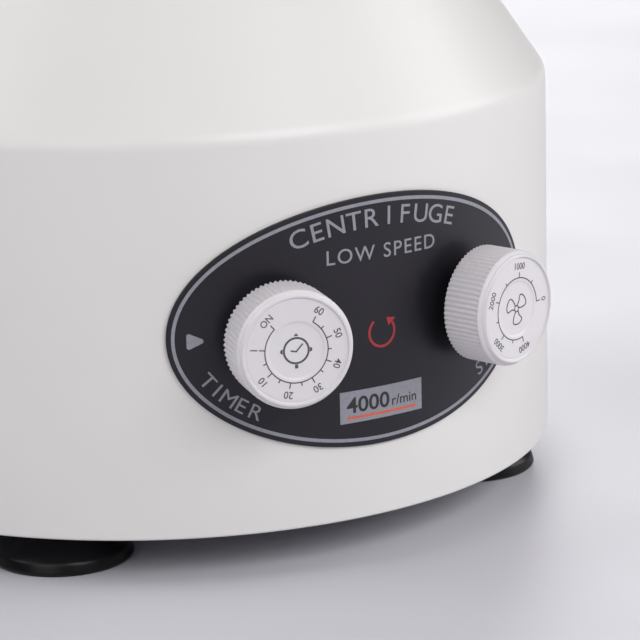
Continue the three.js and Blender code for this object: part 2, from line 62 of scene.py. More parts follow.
# ---- Driving dimensions, in millimetres ----
BODY_R = 130.0
WALL_DRAFT = 0.0075
WALL_T = 3.0
BOTTOM_Z = 14.0
SHOULDER_Z = 134.0
SHOULDER_FILLET = 9.0
CONE_LEAN = math.radians(34.4)
RIM_R = 98.0
RIM_INNER_R = 88.0
CONTROL_Z = 75.3
CONTROL_TURN = math.radians(15.3)
KNOB_R = 17.75
KNOB_FACE = 151.6
PANEL_A = 67.2
PANEL_B = 38.3
PANEL_Z = 75.3
PANEL_LIFT = 0.3
PANEL_T = 0.8
PANEL_SIDES = 240
INLET_Z = 50.0
INLET_STANDS_OUT = 3.3


def node_box(node):
    """A CAD node's lowest and highest corner in millimetres."""
    low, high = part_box(node)
    return low / MM, high / MM


RIM_Z = node_box("housing")[1].z


# ---- Materials ----
class Nodes:
    """A material's node tree with short calls for the nodes used here."""

    def __init__(self, name):
        self.material = bpy.data.materials.new(name)
        self.material.use_nodes = True
        self.tree = self.material.node_tree
        self.shader = self.tree.nodes["Principled BSDF"]
        self.coords = self.add("ShaderNodeTexCoord").outputs["Object"]

    def add(self, kind, **values):
        node = self.tree.nodes.new(kind)
        for key, value in values.items():
            setattr(node, key, value)
        return node

    def link(self, a, b):
        self.tree.links.new(a, b)

    def set(self, node=None, **values):
        """Sets a node's sockets, or the shader's. An underscore stands for a space in a socket's name."""
        for key, value in values.items():
            (node or self.shader).inputs[key.replace("_", " ")].default_value = value

    def stretched(self, scale):
        mapping = self.add("ShaderNodeMapping")
        self.set(mapping, Scale=scale)
        self.link(self.coords, mapping.inputs["Vector"])
        return mapping.outputs["Vector"]

    def round_coords(self):
        """Distance from the object's Z axis and height: machining rings follow these."""
        parts = self.add("ShaderNodeSeparateXYZ")
        self.link(self.coords, parts.inputs[0])
        flat = self.add("ShaderNodeCombineXYZ")
        for axis in "XY":
            self.link(parts.outputs[axis], flat.inputs[axis])
        length = self.add("ShaderNodeVectorMath", operation="LENGTH")
        self.link(flat.outputs[0], length.inputs[0])
        made = self.add("ShaderNodeCombineXYZ")
        self.link(length.outputs["Value"], made.inputs["X"])
        self.link(parts.outputs["Z"], made.inputs["Z"])
        return made.outputs[0]

    def noise(self, scale, detail=2.0, roughness=0.5, vector=None):
        node = self.add("ShaderNodeTexNoise")
        self.set(node, Scale=scale, Detail=detail, Roughness=roughness)
        self.link(vector or self.coords, node.inputs["Vector"])
        return node.outputs["Fac"]

    def colour(self, value, low, high, start=0.3, end=0.7):
        """Colours the surface from low to high along a value."""
        node = self.add("ShaderNodeValToRGB")
        for element, position, colour in zip(node.color_ramp.elements, (start, end), (low, high)):
            element.position = position
            element.color = colour
        self.link(value, node.inputs["Fac"])
        self.link(node.outputs["Color"], self.shader.inputs["Base Color"])

    def gloss(self, value, low, high):
        """Sets the surface's roughness from low to high along a value."""
        node = self.add("ShaderNodeMapRange")
        self.set(node, To_Min=low, To_Max=high)
        self.link(value, node.inputs["Value"])
        self.link(node.outputs["Result"], self.shader.inputs["Roughness"])

    def bump(self, *layers):
        """Adds bump layers of (height, distance in millimetres)."""
        normal = None
        for height, distance in layers:
            node = self.add("ShaderNodeBump")
            self.set(node, Distance=distance * MM, Strength=1.0)
            self.link(height, node.inputs["Height"])
            if normal:
                self.link(normal, node.inputs["Normal"])
            normal = node.outputs["Normal"]
        self.link(normal, self.shader.inputs["Normal"])


def shade(colour, factor=1.0):
    """An opaque colour with its brightness multiplied."""
    return (*(min(1.0, part * factor) for part in colour), 1.0)


def plastic(name, colour, roughness, grain=0.004, grain_scale=2500, vary=0.03, **sockets):
    """Moulded plastic: faint colour drift, uneven gloss and a fine moulded skin."""
    m = Nodes(name)
    m.colour(m.noise(14, 3), shade(colour, 1 - vary), shade(colour, 1 + vary))
    m.gloss(m.noise(60, 4), roughness * 0.88, roughness * 1.12)
    m.bump((m.noise(grain_scale, 2), grain), (m.noise(40, 2), grain * 2))
    m.set(**sockets)
    return m.material


def rubber(name, colour):
    m = Nodes(name)
    dust = m.noise(90, 5, 0.65)
    m.colour(dust, shade(colour), shade(colour, 1.9), 0.45, 0.8)
    m.gloss(m.noise(35, 3), 0.28, 0.40)
    m.bump((m.noise(1800, 3), 0.012))
    m.set(Specular_IOR_Level=0.26)
    return m.material


def metal(name, colour, roughness, rings=0.0, brushed=None, vary=0.06):
    """Bare metal: turned rings about the object's axis, or brushing along an axis."""
    m = Nodes(name)
    m.set(Metallic=1.0)
    if rings:
        lines = m.noise(2600, 2, 0.7, m.round_coords())
    else:
        lines = m.noise(300, 3, 0.6, m.stretched(brushed or (1, 1, 1)))
    smudge = m.noise(22, 4)
    m.colour(smudge, shade(colour, 1 - vary), shade(colour, 1 + vary))
    m.gloss(lines, roughness * 0.75, roughness * 1.3)
    m.bump((lines, max(rings, 0.002)))
    return m.material


def print_ink(name, colour, metallic=0.0, roughness=0.5):
    m = Nodes(name)
    speck = m.noise(900, 2)
    m.colour(speck, shade(colour, 0.92), shade(colour, 1.06))
    m.gloss(m.noise(300, 2), roughness * 0.9, roughness * 1.1)
    m.bump((speck, 0.002))
    m.set(Metallic=metallic)
    return m.material


def window_plastic():
    m = Nodes("clear_polycarbonate")
    m.gloss(m.noise(70, 4), 0.03, 0.09)
    m.bump((m.noise(30, 2), 0.01))
    m.set(Base_Color=(0.78, 0.86, 0.90, 1.0), IOR=1.58, Transmission_Weight=0.92)
    return m.material


def circuit_board():
    m = Nodes("lacquered_laminate")
    tracks = m.add("ShaderNodeTexVoronoi", distance="MANHATTAN")
    m.set(tracks, Scale=260)
    m.link(m.coords, tracks.inputs["Vector"])
    m.colour(tracks.outputs["Distance"], (0.02, 0.15, 0.06, 1), (0.05, 0.27, 0.11, 1), 0.2, 0.24)
    m.gloss(m.noise(50), 0.25, 0.4)
    m.bump((tracks.outputs["Distance"], 0.02))
    return m.material


SHELL = plastic("ivory_abs", (0.745, 0.725, 0.715), 0.36, grain=0.003, grain_scale=1800, vary=0.012,
                Specular_IOR_Level=0.45)
PANEL = plastic("black_panel_film", (0.0068, 0.0064, 0.0094), 0.41, grain=0.024, grain_scale=1700,
                vary=0.08, Specular_Tint=(0.95, 0.91, 1.0, 1.0))
KNOB = plastic("white_knob_plastic", (0.72, 0.69, 0.72), 0.38, grain=0.003, vary=0.015)
BLACK_PLASTIC = plastic("black_moulding", (0.016, 0.016, 0.017), 0.42, grain=0.012, vary=0.1)
WIRE = plastic("wire_insulation", (0.02, 0.02, 0.022), 0.45, grain=0.004, vary=0.1)
RUBBER = rubber("foot_rubber", (0.0022, 0.0021, 0.0030))
SEAL = rubber("seal_rubber", (0.018, 0.018, 0.018))
SILVER_INK = print_ink("silver_ink", (0.30, 0.30, 0.34), 0.25, 0.42)
DARK_INK = print_ink("dark_ink", (0.085, 0.083, 0.09))
BLACK_INK = print_ink("black_ink", (0.02, 0.02, 0.024))
RED_INK = print_ink("red_ink", (0.36, 0.028, 0.03), 0.0, 0.45)
ORANGE_INK = print_ink("orange_ink", (0.70, 0.11, 0.05), 0.0, 0.45)
TURNED_ALUMINIUM = metal("turned_aluminium", (0.72, 0.73, 0.74), 0.30, rings=0.006)
SPUN_STEEL = metal("spun_steel", (0.60, 0.605, 0.61), 0.30, rings=0.005)
STEEL = metal("bright_steel", (0.56, 0.565, 0.57), 0.26, brushed=(1, 12, 12))
ZINC = metal("zinc_sheet", (0.52, 0.53, 0.55), 0.42)
BRASS = metal("stamped_brass", (0.78, 0.56, 0.24), 0.28)
COPPER = metal("copper_winding", (0.72, 0.33, 0.17), 0.35, rings=0.03)
WINDOW = window_plastic()
BOARD = circuit_board()

SLOT_MATERIALS = {
    "shell": SHELL, "panel": PANEL, "knob": KNOB, "rubber": RUBBER, "seal": SEAL, "steel": STEEL,
    "zinc": ZINC, "aluminium": TURNED_ALUMINIUM, "brass": BRASS, "copper": COPPER, "window": WINDOW,
    "board": BOARD, "black_plastic": BLACK_PLASTIC, "wire": WIRE,
}
NODE_SLOT = {row["node"]: row["material_slot"] for row in frame["record"]["subparts"]}


# ---- Object and mesh helpers ----
def add_object(name, data):
    obj = bpy.data.objects.new(name, data)
    bpy.context.scene.collection.objects.link(obj)
    return obj


def filleted(corners, closed=True, step=math.radians(9)):
    """Rounds the corners of an outline. Each corner is (x, y) or (x, y, fillet radius)."""
    count = len(corners)
    out = []
    for i, corner in enumerate(corners):
        here = Vector(corner[:2])
        radius = corner[2] if len(corner) > 2 else 0
        if radius <= 0 or (not closed and i in (0, count - 1)):
            out.append(tuple(here))
            continue
        before = (Vector(corners[i - 1][:2]) - here).normalized()
        after = (Vector(corners[(i + 1) % count][:2]) - here).normalized()
        half = before.angle(after) / 2
        centre = here + (before + after).normalized() * (radius / math.sin(half))
        start = here + before * (radius / math.tan(half)) - centre
        sweep = math.pi - 2 * half
        turn = 1 if start.y * before.x - start.x * before.y > 0 else -1
        steps = max(2, math.ceil(sweep / step))
        for k in range(steps + 1):
            angle = turn * sweep * k / steps
            c, s = math.cos(angle), math.sin(angle)
            out.append((centre.x + start.x * c - start.y * s, centre.y + start.x * s + start.y * c))
    return out


def rectangle(x0, x1, y0, y1, fillet):
    return filleted([(x0, y0, fillet), (x1, y0, fillet), (x1, y1, fillet), (x0, y1, fillet)])


def mesh_of(verts, faces):
    mesh = bpy.data.meshes.new("part")
    mesh.from_pydata([Vector(v) * MM for v in verts], [], faces)
    work = bmesh.new()
    work.from_mesh(mesh)
    bmesh.ops.remove_doubles(work, verts=work.verts, dist=1e-7)
    bmesh.ops.dissolve_degenerate(work, dist=1e-8, edges=work.edges)
    bmesh.ops.recalc_face_normals(work, faces=work.faces)
    work.to_mesh(mesh)
    work.free()
    return mesh


def turned(profile, sides=128, closed=True, radius_of=None):
    """A mesh turned about Z from an outline of (radius, z). radius_of(r, z, angle) may reshape it."""
    rings = []
    verts = []
    for r, z in profile:
        if r < 1e-6:
            rings.append([len(verts)] * sides)
            verts.append((0, 0, z))
            continue
        rings.append(list(range(len(verts), len(verts) + sides)))
        for k in range(sides):
            angle = 2 * math.pi * k / sides
            at = radius_of(r, z, angle) if radius_of else r
            verts.append((at * math.cos(angle), at * math.sin(angle), z))
    faces = []
    for i in range(len(rings) if closed else len(rings) - 1):
        a, b = rings[i], rings[(i + 1) % len(rings)]
        for k in range(sides):
            n = (k + 1) % sides
            corners = list(dict.fromkeys((a[k], a[n], b[n], b[k])))
            if len(corners) > 2:
                faces.append(corners)
    return mesh_of(verts, faces)


def spun(corners, sides, step=math.radians(9)):
    """A solid turned from corners that start and end on the axis."""
    return turned(filleted(corners, closed=False, step=step), sides, closed=False)


def cylinder(radius, low, high, sides=48):
    """A plain round solid about Z, for cutting holes and clearances."""
    return turned([(0, low), (radius, low), (radius, high), (0, high)], sides, closed=False)


def rounded_box(low, high, radius, segments=3):
    mesh = bpy.data.meshes.new("box")
    work = bmesh.new()
    bmesh.ops.create_cube(work, size=1)
    size = Vector(high) - Vector(low)
    middle = (Vector(high) + Vector(low)) / 2
    for v in work.verts:
        v.co = Vector((v.co.x * size.x, v.co.y * size.y, v.co.z * size.z)) * MM + middle * MM
    if radius:
        bmesh.ops.bevel(work, geom=work.edges[:], offset=radius * MM, segments=segments, affect="EDGES",
                        profile=0.5)
    work.to_mesh(mesh)
    work.free()
    return mesh


def prism_faces(count):
    """Faces of a solid whose points are its lower outline, then its upper one."""
    faces = [list(range(count))[::-1], list(range(count, 2 * count))]
    return faces + [[k, (k + 1) % count, (k + 1) % count + count, k + count] for k in range(count)]


def extruded(outline, z0, z1, bevel=0.0, segments=2):
    """A solid from a closed outline in XY between z0 and z1, with its rims rounded."""
    mesh = mesh_of([(x, y, z) for z in (z0, z1) for x, y in outline], prism_faces(len(outline)))
    if bevel:
        work = bmesh.new()
        work.from_mesh(mesh)
        rims = [e for e in work.edges if abs(e.verts[0].co.z - e.verts[1].co.z) < 1e-9]
        bmesh.ops.bevel(work, geom=rims, offset=bevel * MM, segments=segments, affect="EDGES", profile=0.5)
        work.to_mesh(mesh)
        work.free()
    return mesh


def tube(points, radius, sides=12):
    """A closed round bar along the points."""
    spine = [Vector(point) for point in points]
    verts = []
    for i, here in enumerate(spine):
        along = (spine[min(i + 1, len(spine) - 1)] - spine[max(i - 1, 0)]).normalized()
        first = along.orthogonal().normalized() if i == 0 else (first - along * first.dot(along)).normalized()
        second = along.cross(first)
        for k in range(sides):
            angle = 2 * math.pi * k / sides
            verts.append(here + (first * math.cos(angle) + second * math.sin(angle)) * radius)
    faces = [list(range(sides))[::-1], list(range(len(verts) - sides, len(verts)))]
    for i in range(len(spine) - 1):
        a, b = i * sides, (i + 1) * sides
        faces += [[a + k, a + (k + 1) % sides, b + (k + 1) % sides, b + k] for k in range(sides)]
    return mesh_of(verts, faces)


def moved(mesh, matrix):
    mesh.transform(matrix)
    return mesh


def boolean(target, cutters, operation):
    for cutter in cutters:
        objects = [add_object("target", target), add_object("cutter", cutter)]
        modifier = objects[0].modifiers.new("cut", "BOOLEAN")
        modifier.operation = operation
        modifier.solver = "EXACT"
        modifier.object = objects[1]
        graph = bpy.context.evaluated_depsgraph_get()
        target = bpy.data.meshes.new_from_object(objects[0].evaluated_get(graph))
        for item in objects:
            bpy.data.objects.remove(item)
        target.materials.clear()
    return target


def cut(target, *cutters):
    """The target mesh with each cutter mesh taken away in turn."""
    return boolean(target, cutters, "DIFFERENCE")


def fused(target, *others):
    """The target mesh joined with each other mesh in turn."""
    return boolean(target, others, "UNION")


def joined(*meshes):
    work = bmesh.new()
    for mesh in meshes:
        work.from_mesh(mesh)
    made = bpy.data.meshes.new("joined")
    work.to_mesh(made)
    work.free()
    return made


def smooth(mesh, angle=math.radians(32)):
    mesh.polygons.foreach_set("use_smooth", [True] * len(mesh.polygons))
    mesh.set_sharp_from_angle(angle=angle)
    mesh.update()
    return mesh


def place(name, mesh, material, body, *nodes, slot=None, sharp=32, matrix=None):
    """Puts a finished mesh in the scene as a piece that rides on a CAD body.

    A piece with a matrix keeps that placement of its own, so turned rings follow its axis.
    """
    smooth(mesh, math.radians(sharp))
    mesh.name = name
    obj = add_object(name, mesh)
    mesh.materials.clear()
    mesh.materials.append(material)
    if matrix is not None:
        obj.matrix_world = matrix
    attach(obj, body)
    if nodes:
        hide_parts(*nodes)
    slot = slot or (NODE_SLOT[nodes[0]] if nodes else None)
    return obj


def control_matrix(turn):
    """Frame on the wall: Z outward from the machine's axis, Y up, origin on the axis."""
    sideways = Vector((math.cos(turn), math.sin(turn), 0))
    outward = Vector((math.sin(turn), -math.cos(turn), 0))
    matrix = Matrix((sideways, (0, 0, 1), outward)).transposed().to_4x4()
    matrix.translation = Vector((0, 0, CONTROL_Z * MM))
    return matrix


# Turns a solid drawn in (x, z) and made along Z so that it stands up and points along Y.
UPRIGHT = Matrix.Rotation(math.pi / 2, 4, "X")
TIMER_SIDE = control_matrix(-CONTROL_TURN)
SPEED_SIDE = control_matrix(CONTROL_TURN)


def wall_radius(z):
    return BODY_R + (PANEL_Z - z) * WALL_DRAFT


def cone_radius(z):
    return RIM_R + (RIM_Z - z) * math.tan(CONE_LEAN)


# ---- Housing ----
def body_outline():
    apex = wall_radius(SHOULDER_Z)
    foot_r = wall_radius(BOTTOM_Z)
    inner_cone = WALL_T / math.cos(CONE_LEAN)
    inner_turn = SHOULDER_Z - WALL_T * math.tan(CONE_LEAN / 2)
    under_rim = RIM_Z - WALL_T
    under_rim_r = RIM_R + WALL_T * math.tan(CONE_LEAN) - inner_cone
    return filleted([
        (foot_r, BOTTOM_Z, 0.9),
        (apex, SHOULDER_Z, SHOULDER_FILLET),
        (RIM_R, RIM_Z, 1.0),
        (RIM_INNER_R, RIM_Z, 0.8),
        (RIM_INNER_R, under_rim, 0.4),
        (under_rim_r, under_rim, 1.0),
        (apex - WALL_T, inner_turn, 6.0),
        (foot_r - WALL_T, BOTTOM_Z, 0.5),
    ], step=math.radians(4))


def lathe_normals(mesh, lean_at):
    """Keeps a turned wall's shading perfectly round where openings were cut into it."""
    tolerance = math.radians(7)
    normals = [Vector()] * len(mesh.loops)
    for polygon in mesh.polygons:
        for index in polygon.loop_indices:
            co = mesh.vertices[mesh.loops[index].vertex_index].co
            lean = lean_at(co)
            if lean is None:
                continue
            flat = Vector((co.x, co.y, 0)).normalized()
            want = Vector((flat.x * math.cos(lean), flat.y * math.cos(lean), math.sin(lean)))
            if want.angle(polygon.normal) < tolerance:
                normals[index] = want
    mesh.normals_split_custom_set(normals)


def body_lean(co):
    """The outer surface's lean at a point in metres, or None away from the outer surface."""
    r = math.hypot(co.x, co.y) / MM
    z = co.z / MM
    skin, fillet_r = 0.4, 125
    reach = SHOULDER_FILLET * math.tan((CONE_LEAN - WALL_DRAFT) / 2)
    low = SHOULDER_Z - reach
    high = SHOULDER_Z + reach * math.cos(CONE_LEAN)
    if z < low:
        return WALL_DRAFT if r > wall_radius(z) - skin and z > BOTTOM_Z + 1.5 else None
    if z > RIM_Z - 1.6:
        return None
    if z > high:
        return CONE_LEAN if r > cone_radius(z) - skin else None
    return WALL_DRAFT + (CONE_LEAN - WALL_DRAFT) * (z - low) / (high - low) if r > fillet_r else None


def with_inlet_boss(shell):
    """Adds the raised boss at the back, hollow, with a hole for the mains inlet."""
    face_y = node_box("power_inlet")[1].y - INLET_STANDS_OUT
    half, low, high = 34, INLET_Z - 22, INLET_Z + 22
    boss = rounded_box((-half, 112, low), (half, face_y, high), 3.0, 5)
    shell = fused(shell, cut(boss, cylinder(BODY_R - 2, 20, 80, 256)))
    hollow_top = (half - WALL_T, face_y - WALL_T, high - WALL_T)
    hollow = rounded_box((-half + WALL_T, 100, low + WALL_T), hollow_top, 2.0)
    return cut(shell, hollow, rounded_box((-22.5, 120, INLET_Z - 13.5), (22.5, 150, INLET_Z + 13.5), 0.0))


def with_latch_openings(shell):
    """Cuts the button's opening in the cone and the slot for the lid's catch in the rim."""
    opening = moved(extruded(rectangle(-15.1, 15.1, 170, 176.9, 1.2), 94, 125), UPRIGHT)
    return cut(shell, opening, rounded_box((-6.6, -96.2, RIM_Z - 5), (6.6, -92.2, RIM_Z + 1), 0.6))


def with_vents(shell):
    """Cuts a row of upright slots on either side of the inlet."""
    slot = rectangle(-1.6, 1.6, 34, 66, 1.55)
    first, pitch, count = 24, 5, 5
    for side in (-1, 1):
        for i in range(count):
            vent = moved(extruded(slot, -(BODY_R + 6), -(BODY_R - 8)), UPRIGHT)
            turn = side * math.radians(first + pitch * i)
            shell = cut(shell, moved(vent, Matrix.Rotation(turn, 4, "Z")))
    return shell


def make_housing():
    shell = with_inlet_boss(turned(body_outline(), 256))
    shell = cut(shell, *(moved(cylinder(5, 110, 140), side) for side in (TIMER_SIDE, SPEED_SIDE)))
    shell = with_vents(with_latch_openings(shell))
    piece = place("housing_shell", shell, SHELL, "base", "housing", sharp=30)
    lathe_normals(piece.data, body_lean)


# ---- Feet and base plate ----
def make_feet():
    """Suction cups: hollow underneath, with a thin lip, flaring up to a flange."""
    flange_top = node_box("foot_1")[1].z
    corners = [
        (0, 3.4), (11, 2.2, 6), (18, 0, 0.3), (21.3, 0, 0.6), (22.2, 1.1, 0.9), (21.4, 4.0, 3.0),
        (18.6, 7.0, 6.0), (15.2, 10.4, 5.0), (14.0, flange_top, 0.4), (0, flange_top),
    ]
    for i in range(1, 5):
        node = f"foot_{i}"
        low, high = node_box(node)
        centre = Matrix.Translation(((low.x + high.x) / 2 * MM, (low.y + high.y) / 2 * MM, 0))
        cup = spun(corners, 96, math.radians(5))
        place(f"suction_foot_{i}", cup, RUBBER, "base", node, matrix=centre)


def make_base_plate():
    """A pressed disc, stiffened by a raised ring."""
    low, high = node_box("base_plate")
    outer, raised = high.x - 0.1, low.z + 1.2
    outline = filleted([
        (5, low.z, 0.4), (40, low.z, 2), (43, raised, 2), (70, raised, 2), (73, low.z, 2),
        (outer, low.z, 0.8), (outer, high.z, 0.4), (5, high.z, 0.4),
    ])
    place("base_disc", turned(outline, 160), ZINC, "base", "base_plate")


# ---- Control panel ----
def on_panel(s, z, h):
    """A point h above the panel's face, s along the wall from the front."""
    angle = s / BODY_R
    r = wall_radius(z) + PANEL_LIFT + PANEL_T + h
    return (r * math.sin(angle), -r * math.cos(angle), z)


def oval(a, b, t):
    return (a * math.cos(t), PANEL_Z + b * math.sin(t))


def oval_ring(a, b):
    return [oval(a, b, 2 * math.pi * k / PANEL_SIDES) for k in range(PANEL_SIDES)]


def make_panel():
    """A curved oval plate: rings of points from its middle over the rim to its back."""
    rounding = 0.2
    scales = (0.02, 0.12, 0.24, 0.36, 0.48, 0.6, 0.72, 0.84, 0.94)
    rims = [(-rounding, 0.0), (-rounding * 0.3, -rounding * 0.3), (0.0, -rounding), (0.0, -PANEL_T)]
    loops = [[(*point, 0.0) for point in oval_ring(PANEL_A * u, PANEL_B * u)] for u in scales]
    loops += [[(*point, h) for point in oval_ring(PANEL_A + grow, PANEL_B + grow)] for grow, h in rims]
    loops += [[(*point, -PANEL_T) for point in oval_ring(PANEL_A * u, PANEL_B * u)] for u in reversed(scales)]
    points = [(0, PANEL_Z, 0), *(point for loop in loops for point in loop), (0, PANEL_Z, -PANEL_T)]
    verts = [on_panel(*point) for point in points]
    faces = []
    for k in range(PANEL_SIDES):
        n = (k + 1) % PANEL_SIDES
        faces.append([0, 1 + k, 1 + n])
        for i in range(len(loops) - 1):
            a, b = 1 + i * PANEL_SIDES, 1 + (i + 1) * PANEL_SIDES
            faces.append([a + k, b + k, b + n, a + n])
        last = 1 + (len(loops) - 1) * PANEL_SIDES
        faces.append([last + k, len(verts) - 1, last + n])
    holes = [moved(cylinder(5.2, 120, 140), side) for side in (TIMER_SIDE, SPEED_SIDE)]
    piece = place("panel_face", cut(mesh_of(verts, faces), *holes), PANEL, "base", "control_panel")

    def lean(co):
        r = math.hypot(co.x, co.y) / MM
        return WALL_DRAFT if r > wall_radius(co.z / MM) + PANEL_LIFT + PANEL_T - 0.02 else None

    lathe_normals(piece.data, lean)


# ---- Printing: thin closed solids mapped onto a surface ----
INK_TOP = 0.05
INK_BASE = -0.03


def bar_faces(count, closed=False):
    """Faces of a bar through count cross-sections of four points, as a ring when closed."""
    faces = []
    for i in range(count if closed else count - 1):
        a, b = 4 * i, 4 * ((i + 1) % count)
        for p, q in ((0, 1), (1, 3), (3, 2), (2, 0)):
            faces.append([a + p, a + q, b + q, b + p])
    if not closed:
        e = 4 * (count - 1)
        faces += [[0, 2, 3, 1], [e, e + 1, e + 3, e + 2]]
    return faces


class Print:
    """Collects flat graphics in a surface's own two coordinates and maps them onto it."""

    def __init__(self, mapping):
        self.mapping = mapping
        self.verts = []
        self.faces = []

    def solid(self, verts, faces):
        start = len(self.verts)
        self.verts += [self.mapping(x, y, INK_TOP if top else INK_BASE) for x, y, top in verts]
        self.faces += [[start + i for i in face] for face in faces]

    def stroke(self, points, width, closed=False):
        """A line of one width through the points."""
        count = len(points)
        verts = []
        for i, point in enumerate(points):
            here = Vector(point)
            before = Vector(points[i - 1]) if closed or i else here
            after = Vector(points[(i + 1) % count]) if closed or i < count - 1 else here
            first = (here - before).normalized() if here != before else (after - here).normalized()
            second = (after - here).normalized() if after != here else first
            middle = (first + second).normalized()
            side = Vector((-middle.y, middle.x)) * (width / 2 / max(0.35, middle.dot(first)))
            for top in (0, 1):
                verts += [(*(here + side), top), (*(here - side), top)]
        self.solid(verts, bar_faces(count, closed))

    def filled(self, outline):
        """A filled shape, convex enough to be one face."""
        verts = [(x, y, top) for top in (0, 1) for x, y in outline]
        self.solid(verts, prism_faces(len(outline)))

    def rectangle(self, x0, x1, y0, y1, columns):
        verts = []
        for i in range(columns + 1):
            x = x0 + (x1 - x0) * i / columns
            verts += [(x, y0, 0), (x, y1, 0), (x, y0, 1), (x, y1, 1)]
        self.solid(verts, bar_faces(columns + 1))

    def text(self, words, height, middle, turn=0.0, widen=1.0, bold=0.0, spacing=1.0):
        """Text whose capitals are height tall, centred on a point and turned by an angle."""
        points, faces = glyphs(words, bold, spacing)
        low_x = min(p[0] for p in points)
        high_x = max(p[0] for p in points)
        scale = height / CAP_HEIGHT
        c, s = math.cos(turn), math.sin(turn)
        verts = []
        for x, y, top in points:
            u = (x - (low_x + high_x) / 2) * scale * widen
            v = (y - CAP_HEIGHT / 2) * scale
            verts.append((middle[0] + u * c - v * s, middle[1] + u * s + v * c, top))
        self.solid(verts, faces)

    def place(self, name, material, body, slot):
        return place(name, mesh_of(self.verts, self.faces), material, body, slot=slot, sharp=40)


def glyphs(words, bold=0.0, spacing=1.0):
    """The built-in font's outlines as closed solids: points of (x, y, top) and faces."""
    curve = bpy.data.curves.new("glyphs", "FONT")
    curve.body = words
    curve.extrude = 0.5
    curve.resolution_u = 4
    curve.offset = bold
    curve.space_character = spacing
    holder = add_object("glyphs", curve)
    graph = bpy.context.evaluated_depsgraph_get()
    mesh = bpy.data.meshes.new_from_object(holder.evaluated_get(graph))
    bpy.data.objects.remove(holder)
    points = [(v.co.x, v.co.y, 1 if v.co.z > 0 else 0) for v in mesh.vertices]
    return points, [list(p.vertices) for p in mesh.polygons]


CAP_HEIGHT = max(p[1] for p in glyphs("E")[0])


def polar(r, degrees, centre=(0.0, 0.0)):
    angle = math.radians(degrees)
    return (centre[0] + r * math.cos(angle), centre[1] + r * math.sin(angle))


def arc_points(radius, start, end, steps, centre=(0.0, 0.0)):
    """Points along a circle, angles in degrees."""
    return [polar(radius, start + (end - start) * k / steps, centre) for k in range(steps + 1)]


def circle_points(radius, sides):
    return arc_points(radius, 0, 360 - 360 / sides, sides - 1)


def print_title(silver):
    """The kind of machine, letter by letter at equal steps along an arch."""
    words, arch_r, arch_top, step, shift = "CENTRIFUGE", 100.0, 106.9, 6.15, 0.3
    for i, letter in enumerate(words):
        s = shift + (i - (len(words) - 1) / 2) * step
        middle = (arch_r * math.sin(s / arch_r), arch_top - arch_r * (1 - math.cos(s / arch_r)))
        silver.text(letter, 5.5, middle, -s / arch_r, widen=1.12, bold=0.002)


def print_control_names(silver):
    """The two names follow an oval inside the silver line, beside their knobs."""
    a, b, step = PANEL_A - 7.0, PANEL_B - 6.5, 5.85
    for word, first in (("TIMER", 203.3), ("SPEED", 313.3)):
        for i, letter in enumerate(word):
            t = math.radians(first + step * i)
            turn = math.atan2(b * math.cos(t), -a * math.sin(t))
            silver.text(letter, 4.4, oval(a, b, t), turn, widen=1.12)


def print_pointers(silver):
    """A rounded triangle at each end of the panel, which a dial's marks turn past."""
    tip, back, z = 56.3, 61.2, 75.0
    tip_half, back_half, corner = 0.5, 2.75, 0.7
    for side in (-1, 1):
        silver.filled(filleted([
            (back * side, z - back_half, corner), (tip * side, z - tip_half, corner * 0.5),
            (tip * side, z + tip_half, corner * 0.5), (back * side, z + back_half, corner),
        ]))


def make_rotation_arrow():
    red = Print(on_panel)
    middle, arrow_r, head_half = (0.1, 71.6), 4.5, 1.7
    red.stroke(arc_points(arrow_r, 130, 395, 48, middle), 0.8)
    corners = ((arrow_r - head_half, 33), (arrow_r + head_half, 37), (arrow_r, 68))
    red.filled([polar(r, degrees, middle) for r, degrees in corners])
    red.place("panel_rotation_arrow", RED_INK, "base", "panel")


def make_plate_print():
    """A rating and a bar, printed on the silver plate."""
    def on_plate(s, z, h):
        return on_panel(s, z, h + INK_TOP - 0.01)

    dark = Print(on_plate)
    dark.text("4000", 4.6, (-5.2, 50.4), widen=1.12, bold=0.016)
    dark.text("r/min", 3.0, (7.9, 49.7), widen=1.02, bold=0.006)
    dark.place("plate_rating", BLACK_INK, "base", "panel")
    orange = Print(on_plate)
    orange.rectangle(-12.4, 12.2, 46.2, 46.9, 20)
    orange.place("plate_bar", ORANGE_INK, "base", "panel")


def make_panel_print():
    silver = Print(on_panel)
    line_inset, line_width = 2.05, 1.05
    silver.stroke(oval_ring(PANEL_A - line_inset, PANEL_B - line_inset), line_width, closed=True)
    print_title(silver)
    silver.text("LOW SPEED", 4.3, (1.4, 96.4), widen=1.06, bold=0.003, spacing=1.16)
    print_control_names(silver)
    print_pointers(silver)
    silver.rectangle(-14.9, 14.7, 44.95, 54.8, 24)
    silver.place("panel_silver_print", SILVER_INK, "base", "panel")
    make_rotation_arrow()
    make_plate_print()


# ---- Knobs ----
RIBS = 72
RIB_DEPTH = 0.5
KNOB_BACK = 136.5
DISH_R = 8.9
DISH_EDGE = 0.9
DISH_DEPTH = 0.32
FACE_FLAT = KNOB_FACE - 0.5


def dial_height(r):
    """Height of the dial's face at a radius: flat, with a shallow dish in the middle."""
    t = min(1.0, max(0.0, (r - (DISH_R - DISH_EDGE)) / DISH_EDGE))
    return FACE_FLAT - DISH_DEPTH * (1 - t * t * (3 - 2 * t))


def ribbed(r, z, angle):
    """The radius of the finger ribs on the knob's side, which fade out before the face."""
    if r < KNOB_R - 0.6 or z < KNOB_BACK + 0.1:
        return r
    fade = min(1.0, max(0.0, (KNOB_FACE - 2.3 - z) / 0.6))
    return r - RIB_DEPTH * fade * math.sin(angle * RIBS / 2) ** 2


